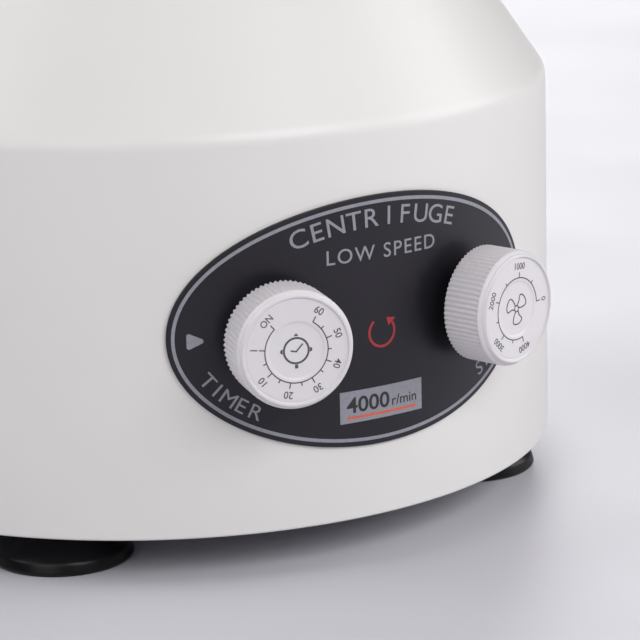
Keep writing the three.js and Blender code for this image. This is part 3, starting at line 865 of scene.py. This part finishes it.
def knob_mesh():
    face = KNOB_FACE
    groove_z = face - 1.15
    front = filleted([
        (KNOB_R - 0.05, face - 2.4), (KNOB_R - 0.1, face - 1.9, 0.3), (KNOB_R - 0.65, groove_z, 0.3),
        (KNOB_R - 0.85, groove_z, 0.12), (KNOB_R - 1.0, face, 1.0), (16.2, face, 0.5),
        (15.5, FACE_FLAT - 0.12, 0.5), (15.0, FACE_FLAT, 0.5), (14.4, FACE_FLAT),
    ], closed=False, step=math.radians(14))
    side = [(KNOB_R, KNOB_BACK + 0.4 + 0.5 * k) for k in range(25)]
    dish_radii = (12.5, 10.5, DISH_R, 8.72, 8.54, 8.36, 8.18, 8.0, 6.0, 4.0, 2.0, 0.0)
    dish = [(r, dial_height(r)) for r in dish_radii]
    bore_r, bore_end, hub_r, hub_end = 3.3, 147.8, 9.6, 140.9
    back = [
        (0, bore_end), (bore_r, bore_end), (bore_r, hub_end), (hub_r, hub_end), (hub_r, KNOB_BACK),
        (KNOB_R - 0.8, KNOB_BACK), (KNOB_R - 0.25, KNOB_BACK + 0.15),
    ]
    return turned(back + side + front + dish, RIBS * 8, closed=False, radius_of=ribbed)


def on_dial(side):
    return lambda x, y, h: side @ (Vector((x, y, dial_height(math.hypot(x, y)) + h)) * MM) / MM


SCALE_R = 9.55
LINE = 0.34


def tick(ink, degrees, length):
    ink.stroke([polar(SCALE_R, degrees), polar(SCALE_R + length, degrees)], LINE)


def number(ink, words, degrees, r=13.3, height=2.1):
    ink.text(words, height, polar(r, degrees), math.radians(degrees - 90), widen=0.95, bold=0.006)


def print_clock(ink):
    """A clock face with two hands and a mark at each quarter."""
    ink.stroke(circle_points(3.75, 48), 0.6, closed=True)
    ink.stroke([(-1.7, 0.05), (0.0, -0.3), (2.0, 1.9)], 0.45)
    ink.filled([(-0.75, 4.35), (0.75, 4.35), (0.0, 5.2)])
    ink.filled([(-0.5, -5.3), (0.5, -5.3), (0.5, -4.15), (-0.5, -4.15)])
    bead_x, bead_r = 4.15, 0.7
    half_turn = [math.pi * (k / 10 - 0.5) for k in range(11)]
    for side in (1, -1):
        ink.filled([(side * (bead_x + bead_r * math.cos(a)), bead_r * math.sin(a)) for a in half_turn])


def make_timer_dial():
    ink = Print(on_dial(TIMER_SIDE))
    held_on, one_minute, zero, per_minute = 133.0, 174.0, 178.0, 4.0
    ink.stroke(arc_points(SCALE_R, held_on, zero + 60 * per_minute, 96), LINE)
    number(ink, "ON", held_on, 13.0, 2.0)
    tick(ink, held_on, 1.7)
    tick(ink, one_minute, 1.8)
    number(ink, "1", one_minute, 12.9)
    for minutes in range(5, 65, 5):
        degrees = zero + per_minute * minutes
        tick(ink, degrees, 1.8 if minutes % 10 == 0 else 1.1)
        if minutes % 10 == 0:
            number(ink, str(minutes), degrees)
    print_clock(ink)
    ink.place("timer_scale_print", DARK_INK, "timer_dial", "knob")


def scale_angle(thousands):
    """Where a speed stands on its dial. The scale closes up a little towards full speed."""
    return 3 + 85 * thousands - 3.6 * thousands ** 2


def print_fan(ink):
    """A hub and three blades, each an open line round the blade's edge."""
    ink.stroke(circle_points(0.95, 24), 0.36, closed=True)
    blade_edge = (
        (1.1, -36), (2.0, -44), (3.2, -42), (4.2, -38), (4.8, -30), (4.95, -14),
        (4.9, 2), (4.7, 14), (4.2, 22), (3.2, 20), (2.2, 16), (1.1, 30),
    )
    for blade in range(3):
        middle = 45 + 120 * blade
        edge = [polar(r, middle + turn) for r, turn in blade_edge]
        ink.stroke(spline(edge, 4), 0.4)


def make_speed_dial():
    ink = Print(on_dial(SPEED_SIDE))
    ink.stroke(arc_points(SCALE_R, scale_angle(0), scale_angle(4), 96), LINE)
    for i in range(9):
        degrees = scale_angle(i / 2)
        tick(ink, degrees, 1.7 if i % 2 == 0 else 1.0)
        if i % 2 == 0:
            number(ink, str(500 * i), degrees, 13.1, 1.95)
    print_fan(ink)
    ink.place("speed_scale_print", DARK_INK, "speed_dial", "knob")


def spline(points, steps):
    """A smooth curve through the points."""
    ends = [points[0], *points, points[-1]]
    out = []
    for i in range(1, len(ends) - 2):
        p0, p1, p2, p3 = (Vector(p) for p in ends[i - 1:i + 3])
        for k in range(steps):
            t = k / steps
            out.append(tuple(0.5 * (2 * p1 + (p2 - p0) * t + (2 * p0 - 5 * p1 + 4 * p2 - p3) * t * t
                                    + (3 * p1 - p0 - 3 * p2 + p3) * t ** 3)))
    out.append(tuple(points[-1]))
    return out


def make_knobs():
    place("timer_knob_body", knob_mesh(), KNOB, "timer_dial", "timer_knob", matrix=TIMER_SIDE)
    place("speed_knob_body", knob_mesh(), KNOB, "speed_dial", "speed_knob", matrix=SPEED_SIDE)


# ---- Lid ----
LID_Z, LID_TOP = (corner.z for corner in node_box("lid_shell"))
LID_R = 97.5
WINDOW_R = 45.0


def make_lid_cover():
    """The lid: a rounded rim, a decorative groove, and a seat for the window."""
    groove_r, groove_z = 72.0, LID_TOP - 0.7
    seat_r, seat_z, hole_r = WINDOW_R + 7, LID_TOP - 1.6, WINDOW_R - 3
    inner_r, roof_z = LID_R - 5, LID_TOP - 4
    outline = filleted([
        (LID_R, LID_Z, 0.7), (LID_R, LID_TOP, 13.5), (groove_r + 1.6, LID_TOP, 0.5),
        (groove_r + 0.8, groove_z, 0.5), (groove_r - 0.8, groove_z, 0.5), (groove_r - 1.6, LID_TOP, 0.5),
        (seat_r, LID_TOP, 0.5), (seat_r, seat_z, 0.2), (hole_r, seat_z, 0.3), (hole_r, roof_z, 0.5),
        (inner_r, roof_z, 9.0), (inner_r, LID_Z, 0.5),
    ], step=math.radians(6))
    catch_slot = rounded_box((-7, -95.1, LID_Z - 2), (7, -92.3, LID_Z + 2), 0.0)
    place("lid_cover", cut(turned(outline, 200), catch_slot), SHELL, "lid", "lid_shell", sharp=30)


def make_lid():
    make_lid_cover()
    low, high = node_box("lid_window")
    pane = spun([(0, low.z), (WINDOW_R, low.z, 0.4), (WINDOW_R, high.z, 0.4), (0, high.z)], 128)
    place("lid_window_pane", pane, WINDOW, "lid", "lid_window")
    low, high = node_box("window_ring")
    inner_r = WINDOW_R + 0.4
    ring = filleted([
        (inner_r, low.z, 0.2), (high.x, low.z, 0.2), (high.x, high.z - 0.3, 1.0),
        (WINDOW_R + 3.4, high.z, 1.0), (inner_r, high.z - 0.4, 0.5),
    ])
    place("lid_window_ring", turned(ring, 128), BLACK_PLASTIC, "lid", "window_ring")
    low, high = node_box("lid_gasket")
    seal = filleted([
        (89, low.z + 0.6, 0.5), (90.5, low.z, 0.5), (high.x, low.z, 0.4), (high.x, high.z, 0.6),
        (89, high.z, 0.8),
    ])
    place("lid_seal", turned(seal, 128), SEAL, "lid", "lid_gasket")


PIN_LOW, PIN_HIGH = node_box("hinge_pin")
HINGE_Y = (PIN_LOW.y + PIN_HIGH.y) / 2
HINGE_Z = (PIN_LOW.z + PIN_HIGH.z) / 2


def across_x(mesh):
    """Turns a mesh made about Z so that it lies along X at the hinge."""
    turn = Matrix.Translation((0, HINGE_Y * MM, HINGE_Z * MM)) @ Matrix.Rotation(math.pi / 2, 4, "Y")
    return moved(mesh, turn)


def barrel(radius, x0, x1, fillet=0.4, sides=64):
    return spun([(0, x0), (radius, x0, fillet), (radius, x1, fillet), (0, x1)], sides)


def cone_solid(offset, sides=200):
    """The body's cone grown by offset, for cutting pieces that sit on it."""
    slant = offset / math.cos(CONE_LEAN)
    low_z = 140.0
    low_r = cone_radius(low_z) + slant
    return turned([(0, low_z), (low_r, low_z), (RIM_R + slant, RIM_Z), (0, RIM_Z)], sides, closed=False)


def make_hinge():
    """A leaf on the lid, between two ears of a bracket on the cone, with a pin through both."""
    leaf, barrel_r, pin_clearance_r = 11.5, 5, 2.3
    arm = rounded_box((-leaf, LID_R - 2, LID_Z + 0.4), (leaf, HINGE_Y, HINGE_Z + 3.4), 0.8)
    root = rounded_box((-leaf, LID_R - 4, LID_Z + 0.4), (leaf, LID_R + 3, LID_Z + 7.4), 0.8)
    arm = fused(arm, root, across_x(barrel(barrel_r, -leaf, leaf)))
    lid_space = cylinder(LID_R + 0.2, LID_Z - 5, LID_Z + 30, 200)
    arm = cut(arm, lid_space, across_x(barrel(pin_clearance_r, -20, 20, 0, 48)))
    place("hinge_leaf", arm, STEEL, "lid", "lid_hinge_arm")
    half, ear = 17, 5
    bracket = rounded_box((-half, HINGE_Y - 5, 155), (half, HINGE_Y + 12, HINGE_Z - 9), 1.2)
    for x0 in (-half, half - ear):
        upright = rounded_box((x0, HINGE_Y - 5, 160), (x0 + ear, HINGE_Y + 5, HINGE_Z), 0.6)
        bracket = fused(bracket, upright, across_x(barrel(barrel_r, x0, x0 + ear)))
    bracket = cut(bracket, cone_solid(0.3), across_x(barrel(pin_clearance_r, -20, 20, 0, 48)))
    place("hinge_base", bracket, STEEL, "base", "hinge_bracket")
    place("hinge_pin_rod", across_x(barrel(2, -18, 18, 0.5)), STEEL, "base", "hinge_pin")


def button_drop(x, z, half, low_z, high_z):
    """How far the button's face falls away near its rounded edges."""
    edge = 1.0
    near = min(half - abs(x), z - low_z, high_z - z)
    return edge - math.sqrt(max(0.0, edge ** 2 - max(0.0, edge - near) ** 2)) if near < edge else 0.0


def button_ridge(x, z):
    """The height of the upright grip ridges in the middle of the button."""
    pitch, height = 2.4, 0.25
    inside = abs(z - 173.4) < 1.6 and abs(x) < 10
    return height * max(0.0, math.cos(2 * math.pi * x / pitch)) if inside else 0


def make_latch_button():
    """A cap that follows the cone, with grip ridges, and its arms and nose behind the catch."""
    columns, rows = 46, 24
    low_z, high_z, half, stand, back_y = 170.6, 176.3, 14.5, 1.15, -98.0
    front = []
    for j in range(rows + 1):
        for i in range(columns + 1):
            x, z = half * (2 * i / columns - 1), low_z + (high_z - low_z) * j / rows
            raised = stand - button_drop(x, z, half, low_z, high_z) + button_ridge(x, z)
            r = cone_radius(z) + raised / math.cos(CONE_LEAN)
            front.append((x, -math.sqrt(r * r - x * x), z))
    verts = front + [(x, back_y, z) for x, _, z in front]
    count, wide = len(front), columns + 1
    faces = []
    for j in range(rows):
        for i in range(columns):
            a = j * wide + i
            b = count + a
            faces += [[a, a + 1, a + wide + 1, a + wide], [b, b + wide, b + wide + 1, b + 1]]
    rim = list(range(columns)) + [columns + wide * j for j in range(rows)]
    rim += [rows * wide + columns - i for i in range(columns)] + [wide * (rows - j) for j in range(rows)]
    for k, a in enumerate(rim):
        b = rim[(k + 1) % len(rim)]
        faces.append([a, b, b + count, a + count])
    arms = [((-8.4, -99, low_z), (-6.6, -90.4, 173)), ((6.6, -99, low_z), (8.4, -90.4, 173))]
    bar = ((-8.4, -91.8, low_z), (8.4, -90.4, 173))
    nose = ((-3, -92.3, low_z), (3, -91, 172.6))
    button = fused(mesh_of(verts, faces), *(rounded_box(*ends, 0.2, 2) for ends in (*arms, bar, nose)))
    place("latch_push_button", button, BLACK_PLASTIC, "latch", "latch_button")


def make_latch_spring():
    """The coil behind the button."""
    low, high = node_box("latch_spring")
    wire_r, travel, turns, steps = 0.3, 3.05, 6, 24
    middle = (low + high) / 2
    coil_r = (high.x - low.x) / 2 - wire_r
    length = high.y - low.y - 2 * wire_r
    points = []
    for k in range(turns * steps + 1):
        turn = 2 * math.pi * k / steps
        along = low.y + wire_r + length * k / (turns * steps)
        points.append((middle.x + coil_r * math.cos(turn), along, middle.z + coil_r * math.sin(turn)))
    coil = place("latch_return_spring", tube(points, wire_r), STEEL, "base", "latch_spring")
    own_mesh(coil)


# ---- Chamber and rotor ----
def make_chamber():
    low, high = node_box("chamber_bowl")
    hole, inner, outer, flange, thick = 7, 85.0, 87.0, 92.0, 2
    outline = filleted([
        (hole, low.z, 0.4), (outer, low.z, 12), (outer, high.z - thick, 1.0), (flange, high.z - thick, 0.4),
        (flange, high.z, 0.8), (inner, high.z, 1.6), (inner, low.z + thick, 10), (hole, low.z + thick, 0.8),
    ])
    place("chamber_liner", turned(outline, 160), SPUN_STEEL, "base", "chamber_bowl")
    low, high = node_box("bowl_gasket")
    inner, outer = 85.5, 87.6
    seal = filleted([(inner, low.z, 0.4), (outer, low.z, 0.4), (outer, high.z, 1.0), (inner, high.z, 1.0)])
    place("chamber_seal", turned(seal, 128), SEAL, "base", "bowl_gasket")


TILT = math.radians(30)
TUBE_RING_R = 32.0
TUBE_RING_Z = 158.0
SKIRT_R = 45.0
SHAFT_BORE = 4.3


def dish_z(r):
    return TUBE_RING_Z + (r - TUBE_RING_R) * math.tan(TILT)


def from_skirt_top(down, out):
    return (SKIRT_R + down * math.sin(TILT) + out * math.cos(TILT),
            dish_z(SKIRT_R) - down * math.cos(TILT) + out * math.sin(TILT))


def sleeve_matrix(index):
    turn = Matrix.Rotation(math.radians(60 * (index + 0.5)), 4, "Z")
    shift = Matrix.Translation((TUBE_RING_R * MM, 0, TUBE_RING_Z * MM))
    return turn @ shift @ Matrix.Rotation(-TILT, 4, "Y")


def make_rotor():
    thick, skirt, hub = 4.0, 62.0, 16.0
    outline = filleted([
        (SHAFT_BORE, 126, 0.3), (11, 126, 0.8), (hub, dish_z(hub) - thick / math.cos(TILT), 2.0),
        (*from_skirt_top(thick, -thick), 2.0), (*from_skirt_top(skirt, -thick), 0.6),
        (*from_skirt_top(skirt, 0), 1.4), (*from_skirt_top(0, 0), 3.0), (hub, dish_z(hub), 2.0),
        (SHAFT_BORE, dish_z(hub), 0.3),
    ], step=math.radians(6))
    hole_r, spot_r = 10.4, 12.2
    corners = [(0, -11), (hole_r, -11), (hole_r, -0.4, 0), (11.0, 0), (spot_r, 0), (spot_r, 14), (0, 14)]
    pockets = [moved(spun(corners, 64), sleeve_matrix(i)) for i in range(6)]
    place("angle_rotor", cut(turned(outline, 192), *pockets), TURNED_ALUMINIUM, "spinner", "rotor", sharp=25)


def make_rotor_nut():
    """A hexagon with a domed end, bored for the shaft."""
    low, high = node_box("rotor_nut")
    corner_r, dome_r = 9, 7.2
    hexagon = extruded([polar(corner_r, 60 * k) for k in range(6)], low.z, high.z - 3, 0.4)
    dome = spun([(0, low.z + 1), (dome_r, low.z + 1), (dome_r, high.z, 4.5), (0, high.z)], 64)
    nut = cut(fused(hexagon, dome), cylinder(SHAFT_BORE, low.z - 1, high.z - 2))
    place("rotor_cap_nut", nut, STEEL, "spinner", "rotor_nut")


def make_sleeves():
    length, outer, bore, flange, wall = 72.0, 10, 8.75, 11.6, 1.5
    corners = [
        (0, -length), (outer, -length, 6), (outer, 0.3, 0.3), (flange, 0.3, 0.3), (flange, 1.8, 0.5),
        (bore, 1.8, 0.7), (bore, -length + wall, 5), (0, -length + wall),
    ]
    for i in range(6):
        place(f"tube_holder_{i + 1}", spun(corners, 72), TURNED_ALUMINIUM, f"sleeve_{i + 1}",
              f"tube_sleeve_{i + 1}", matrix=sleeve_matrix(i))


# ---- Back: inlet and fuse drawer ----
def backward(outline, y0, y1, bevel=0.0):
    """A solid from an (x, z) outline between two Y values, as seen from the front."""
    return moved(extruded(outline, -y1, -y0, bevel), UPRIGHT)


def make_inlet():
    face = node_box("power_inlet")[1].y
    z = INLET_Z
    flange = backward(rectangle(-25, 25, z - 16, z + 16, 3), face - 3, face, 0.5)
    body = backward(rectangle(-22, 22, z - 13, z + 13, 1), face - 30, face - 2.5, 0.3)
    left, right, corner, half = -19, 5, 4.4, 8
    mouth = filleted([
        (left, z - half, 1), (right, z - half, 1), (right, z + 3.2, 1), (right - corner, z + half, 1),
        (left + corner, z + half, 1), (left, z + 3.2, 1),
    ])
    drawer_hole = backward(rectangle(9, 19, z - 10, z + 10, 0.4), face - 25, face + 2)
    inlet = cut(fused(flange, body), backward(mouth, face - 18, face + 2), drawer_hole)
    place("mains_inlet", inlet, BLACK_PLASTIC, "base", "power_inlet")
    blades = [rounded_box((x - 1, face - 18.5, z + dz - 2), (x + 1, face - 5, z + dz + 2), 0.35)
              for x, dz in ((-14, -1.5), (-7, 3), (0, -1.5))]
    tabs = [rounded_box((x - 3, face - 37, z - 4), (x + 3, face - 28, z - 3.2), 0.1) for x in (-14, 0, 14)]
    place("inlet_contacts", joined(*blades, *tabs), STEEL, "base", slot="steel")


def make_fuse_drawer():
    """A drawer with a wider front and a finger notch at the front's lower edge."""
    z = INLET_Z
    low, high = node_box("fuse_drawer")
    drawer = backward(rectangle(9.3, 18.7, z - 9.7, z + 9.7, 0.4), low.y, high.y - 0.6)
    front = backward(rectangle(7.6, 20.4, z - 11.4, z + 11.4, 1.2), high.y - 1.2, high.y, 0.3)
    notch = backward(rectangle(10.5, 17.5, z - 8.6, z - 6.2, 0.8), high.y - 0.7, high.y + 1)
    place("fuse_holder", cut(fused(drawer, front), notch), BLACK_PLASTIC, "fuse", "fuse_drawer")


make_housing()
make_feet()
make_base_plate()
make_panel()
make_panel_print()
make_knobs()
make_timer_dial()
make_speed_dial()
make_lid()
make_hinge()
make_latch_button()
make_latch_spring()
make_chamber()
make_rotor()
make_rotor_nut()
make_sleeves()
make_inlet()
make_fuse_drawer()

# The other CAD nodes stay as they are, with their own finish.
for node, obj in frame["nodes"].items():
    if not obj.hide_render:
        obj.data.materials.clear()
        obj.data.materials.append(SLOT_MATERIALS[NODE_SLOT[node]])


# ---- Floor, light and camera ----
def make_stage():
    ground = Nodes("pale_floor")
    ground.colour(ground.noise(3, 3), (0.60, 0.59, 0.64, 1), (0.62, 0.61, 0.66, 1))
    ground.gloss(ground.noise(8, 2), 0.45, 0.55)
    # Far from the machine the floor glows a little, as a lit studio sweep does.
    away = ground.add("ShaderNodeVectorMath", operation="LENGTH")
    ground.link(ground.coords, away.inputs[0])
    glow = ground.add("ShaderNodeMapRange", interpolation_type="SMOOTHSTEP")
    ground.set(glow, From_Min=1.3, From_Max=2.3, To_Min=0.0, To_Max=0.62)
    ground.link(away.outputs["Value"], glow.inputs["Value"])
    ground.link(glow.outputs["Result"], ground.shader.inputs["Emission Strength"])
    ground.set(Emission_Color=(0.97, 0.96, 1.0, 1.0))
    bpy.ops.mesh.primitive_plane_add(size=60, location=(0, 0, 0))
    floor = bpy.context.object
    floor.name = "studio_floor"
    floor.data.materials.append(ground.material)
    world = bpy.data.worlds.new("studio")
    bpy.context.scene.world = world
    world.use_nodes = True
    background = world.node_tree.nodes["Background"]
    background.inputs["Color"].default_value = (0.95, 0.96, 1.0, 1)
    background.inputs["Strength"].default_value = 0.04


def make_lights():
    body = (0, 0, 0.08)
    for side, place_m, target_m, size_m, power in (
        ("top", (0.5, 0.5, 1.6), body, (1.8, 1.8), 3),
        ("right", (1.6, -0.8, 0.85), body, (1.4, 1.1), 17),
        ("left", (-1.5, -1.0, 0.9), body, (1.4, 1.2), 9.5),
        ("front", (0.2, -1.85, 1.3), body, (1.4, 1.0), 23.5),
        ("back_right", (1.2, 2.4, 0.9), (0.3, 1.2, 0), (2.0, 1.2), 37),
        ("back_left", (-1.3, 0.6, 1.5), body, (1.4, 1.4), 16),
    ):
        light = bpy.data.lights.new(f"{side}_softbox", "AREA")
        light.shape = "RECTANGLE"
        light.size, light.size_y = size_m
        light.energy = power
        obj = add_object(f"{side}_softbox", light)
        obj.location = place_m
        obj.rotation_euler = (Vector(target_m) - Vector(place_m)).to_track_quat("-Z", "Y").to_euler()


def make_camera():
    azimuth, distance, height = math.radians(-29.98), 0.9278, 0.28635
    pitch, yaw_offset, roll = math.radians(14.475), math.radians(-3.31), math.radians(-1.143)
    focal, sensor = 4.405, 36.0  # focal length as a multiple of the frame's width
    yaw = azimuth + yaw_offset
    forward = Vector((-math.sin(yaw) * math.cos(pitch), math.cos(yaw) * math.cos(pitch), -math.sin(pitch)))
    level = Vector((math.cos(yaw), math.sin(yaw), 0))
    up = level.cross(forward)
    right = level * math.cos(roll) + up * math.sin(roll)
    top = -level * math.sin(roll) + up * math.cos(roll)
    matrix = Matrix((right, top, -forward)).transposed().to_4x4()
    matrix.translation = Vector((math.sin(azimuth) * distance, -math.cos(azimuth) * distance, height))
    camera = bpy.data.cameras.new("camera")
    camera.lens, camera.sensor_width = focal * sensor, sensor
    camera.clip_start, camera.clip_end = 0.01, 50
    obj = add_object("camera", camera)
    obj.matrix_world = matrix
    bpy.context.scene.camera = obj


make_stage()
make_lights()
make_camera()
bpy.context.scene.view_settings.view_transform = "Standard"
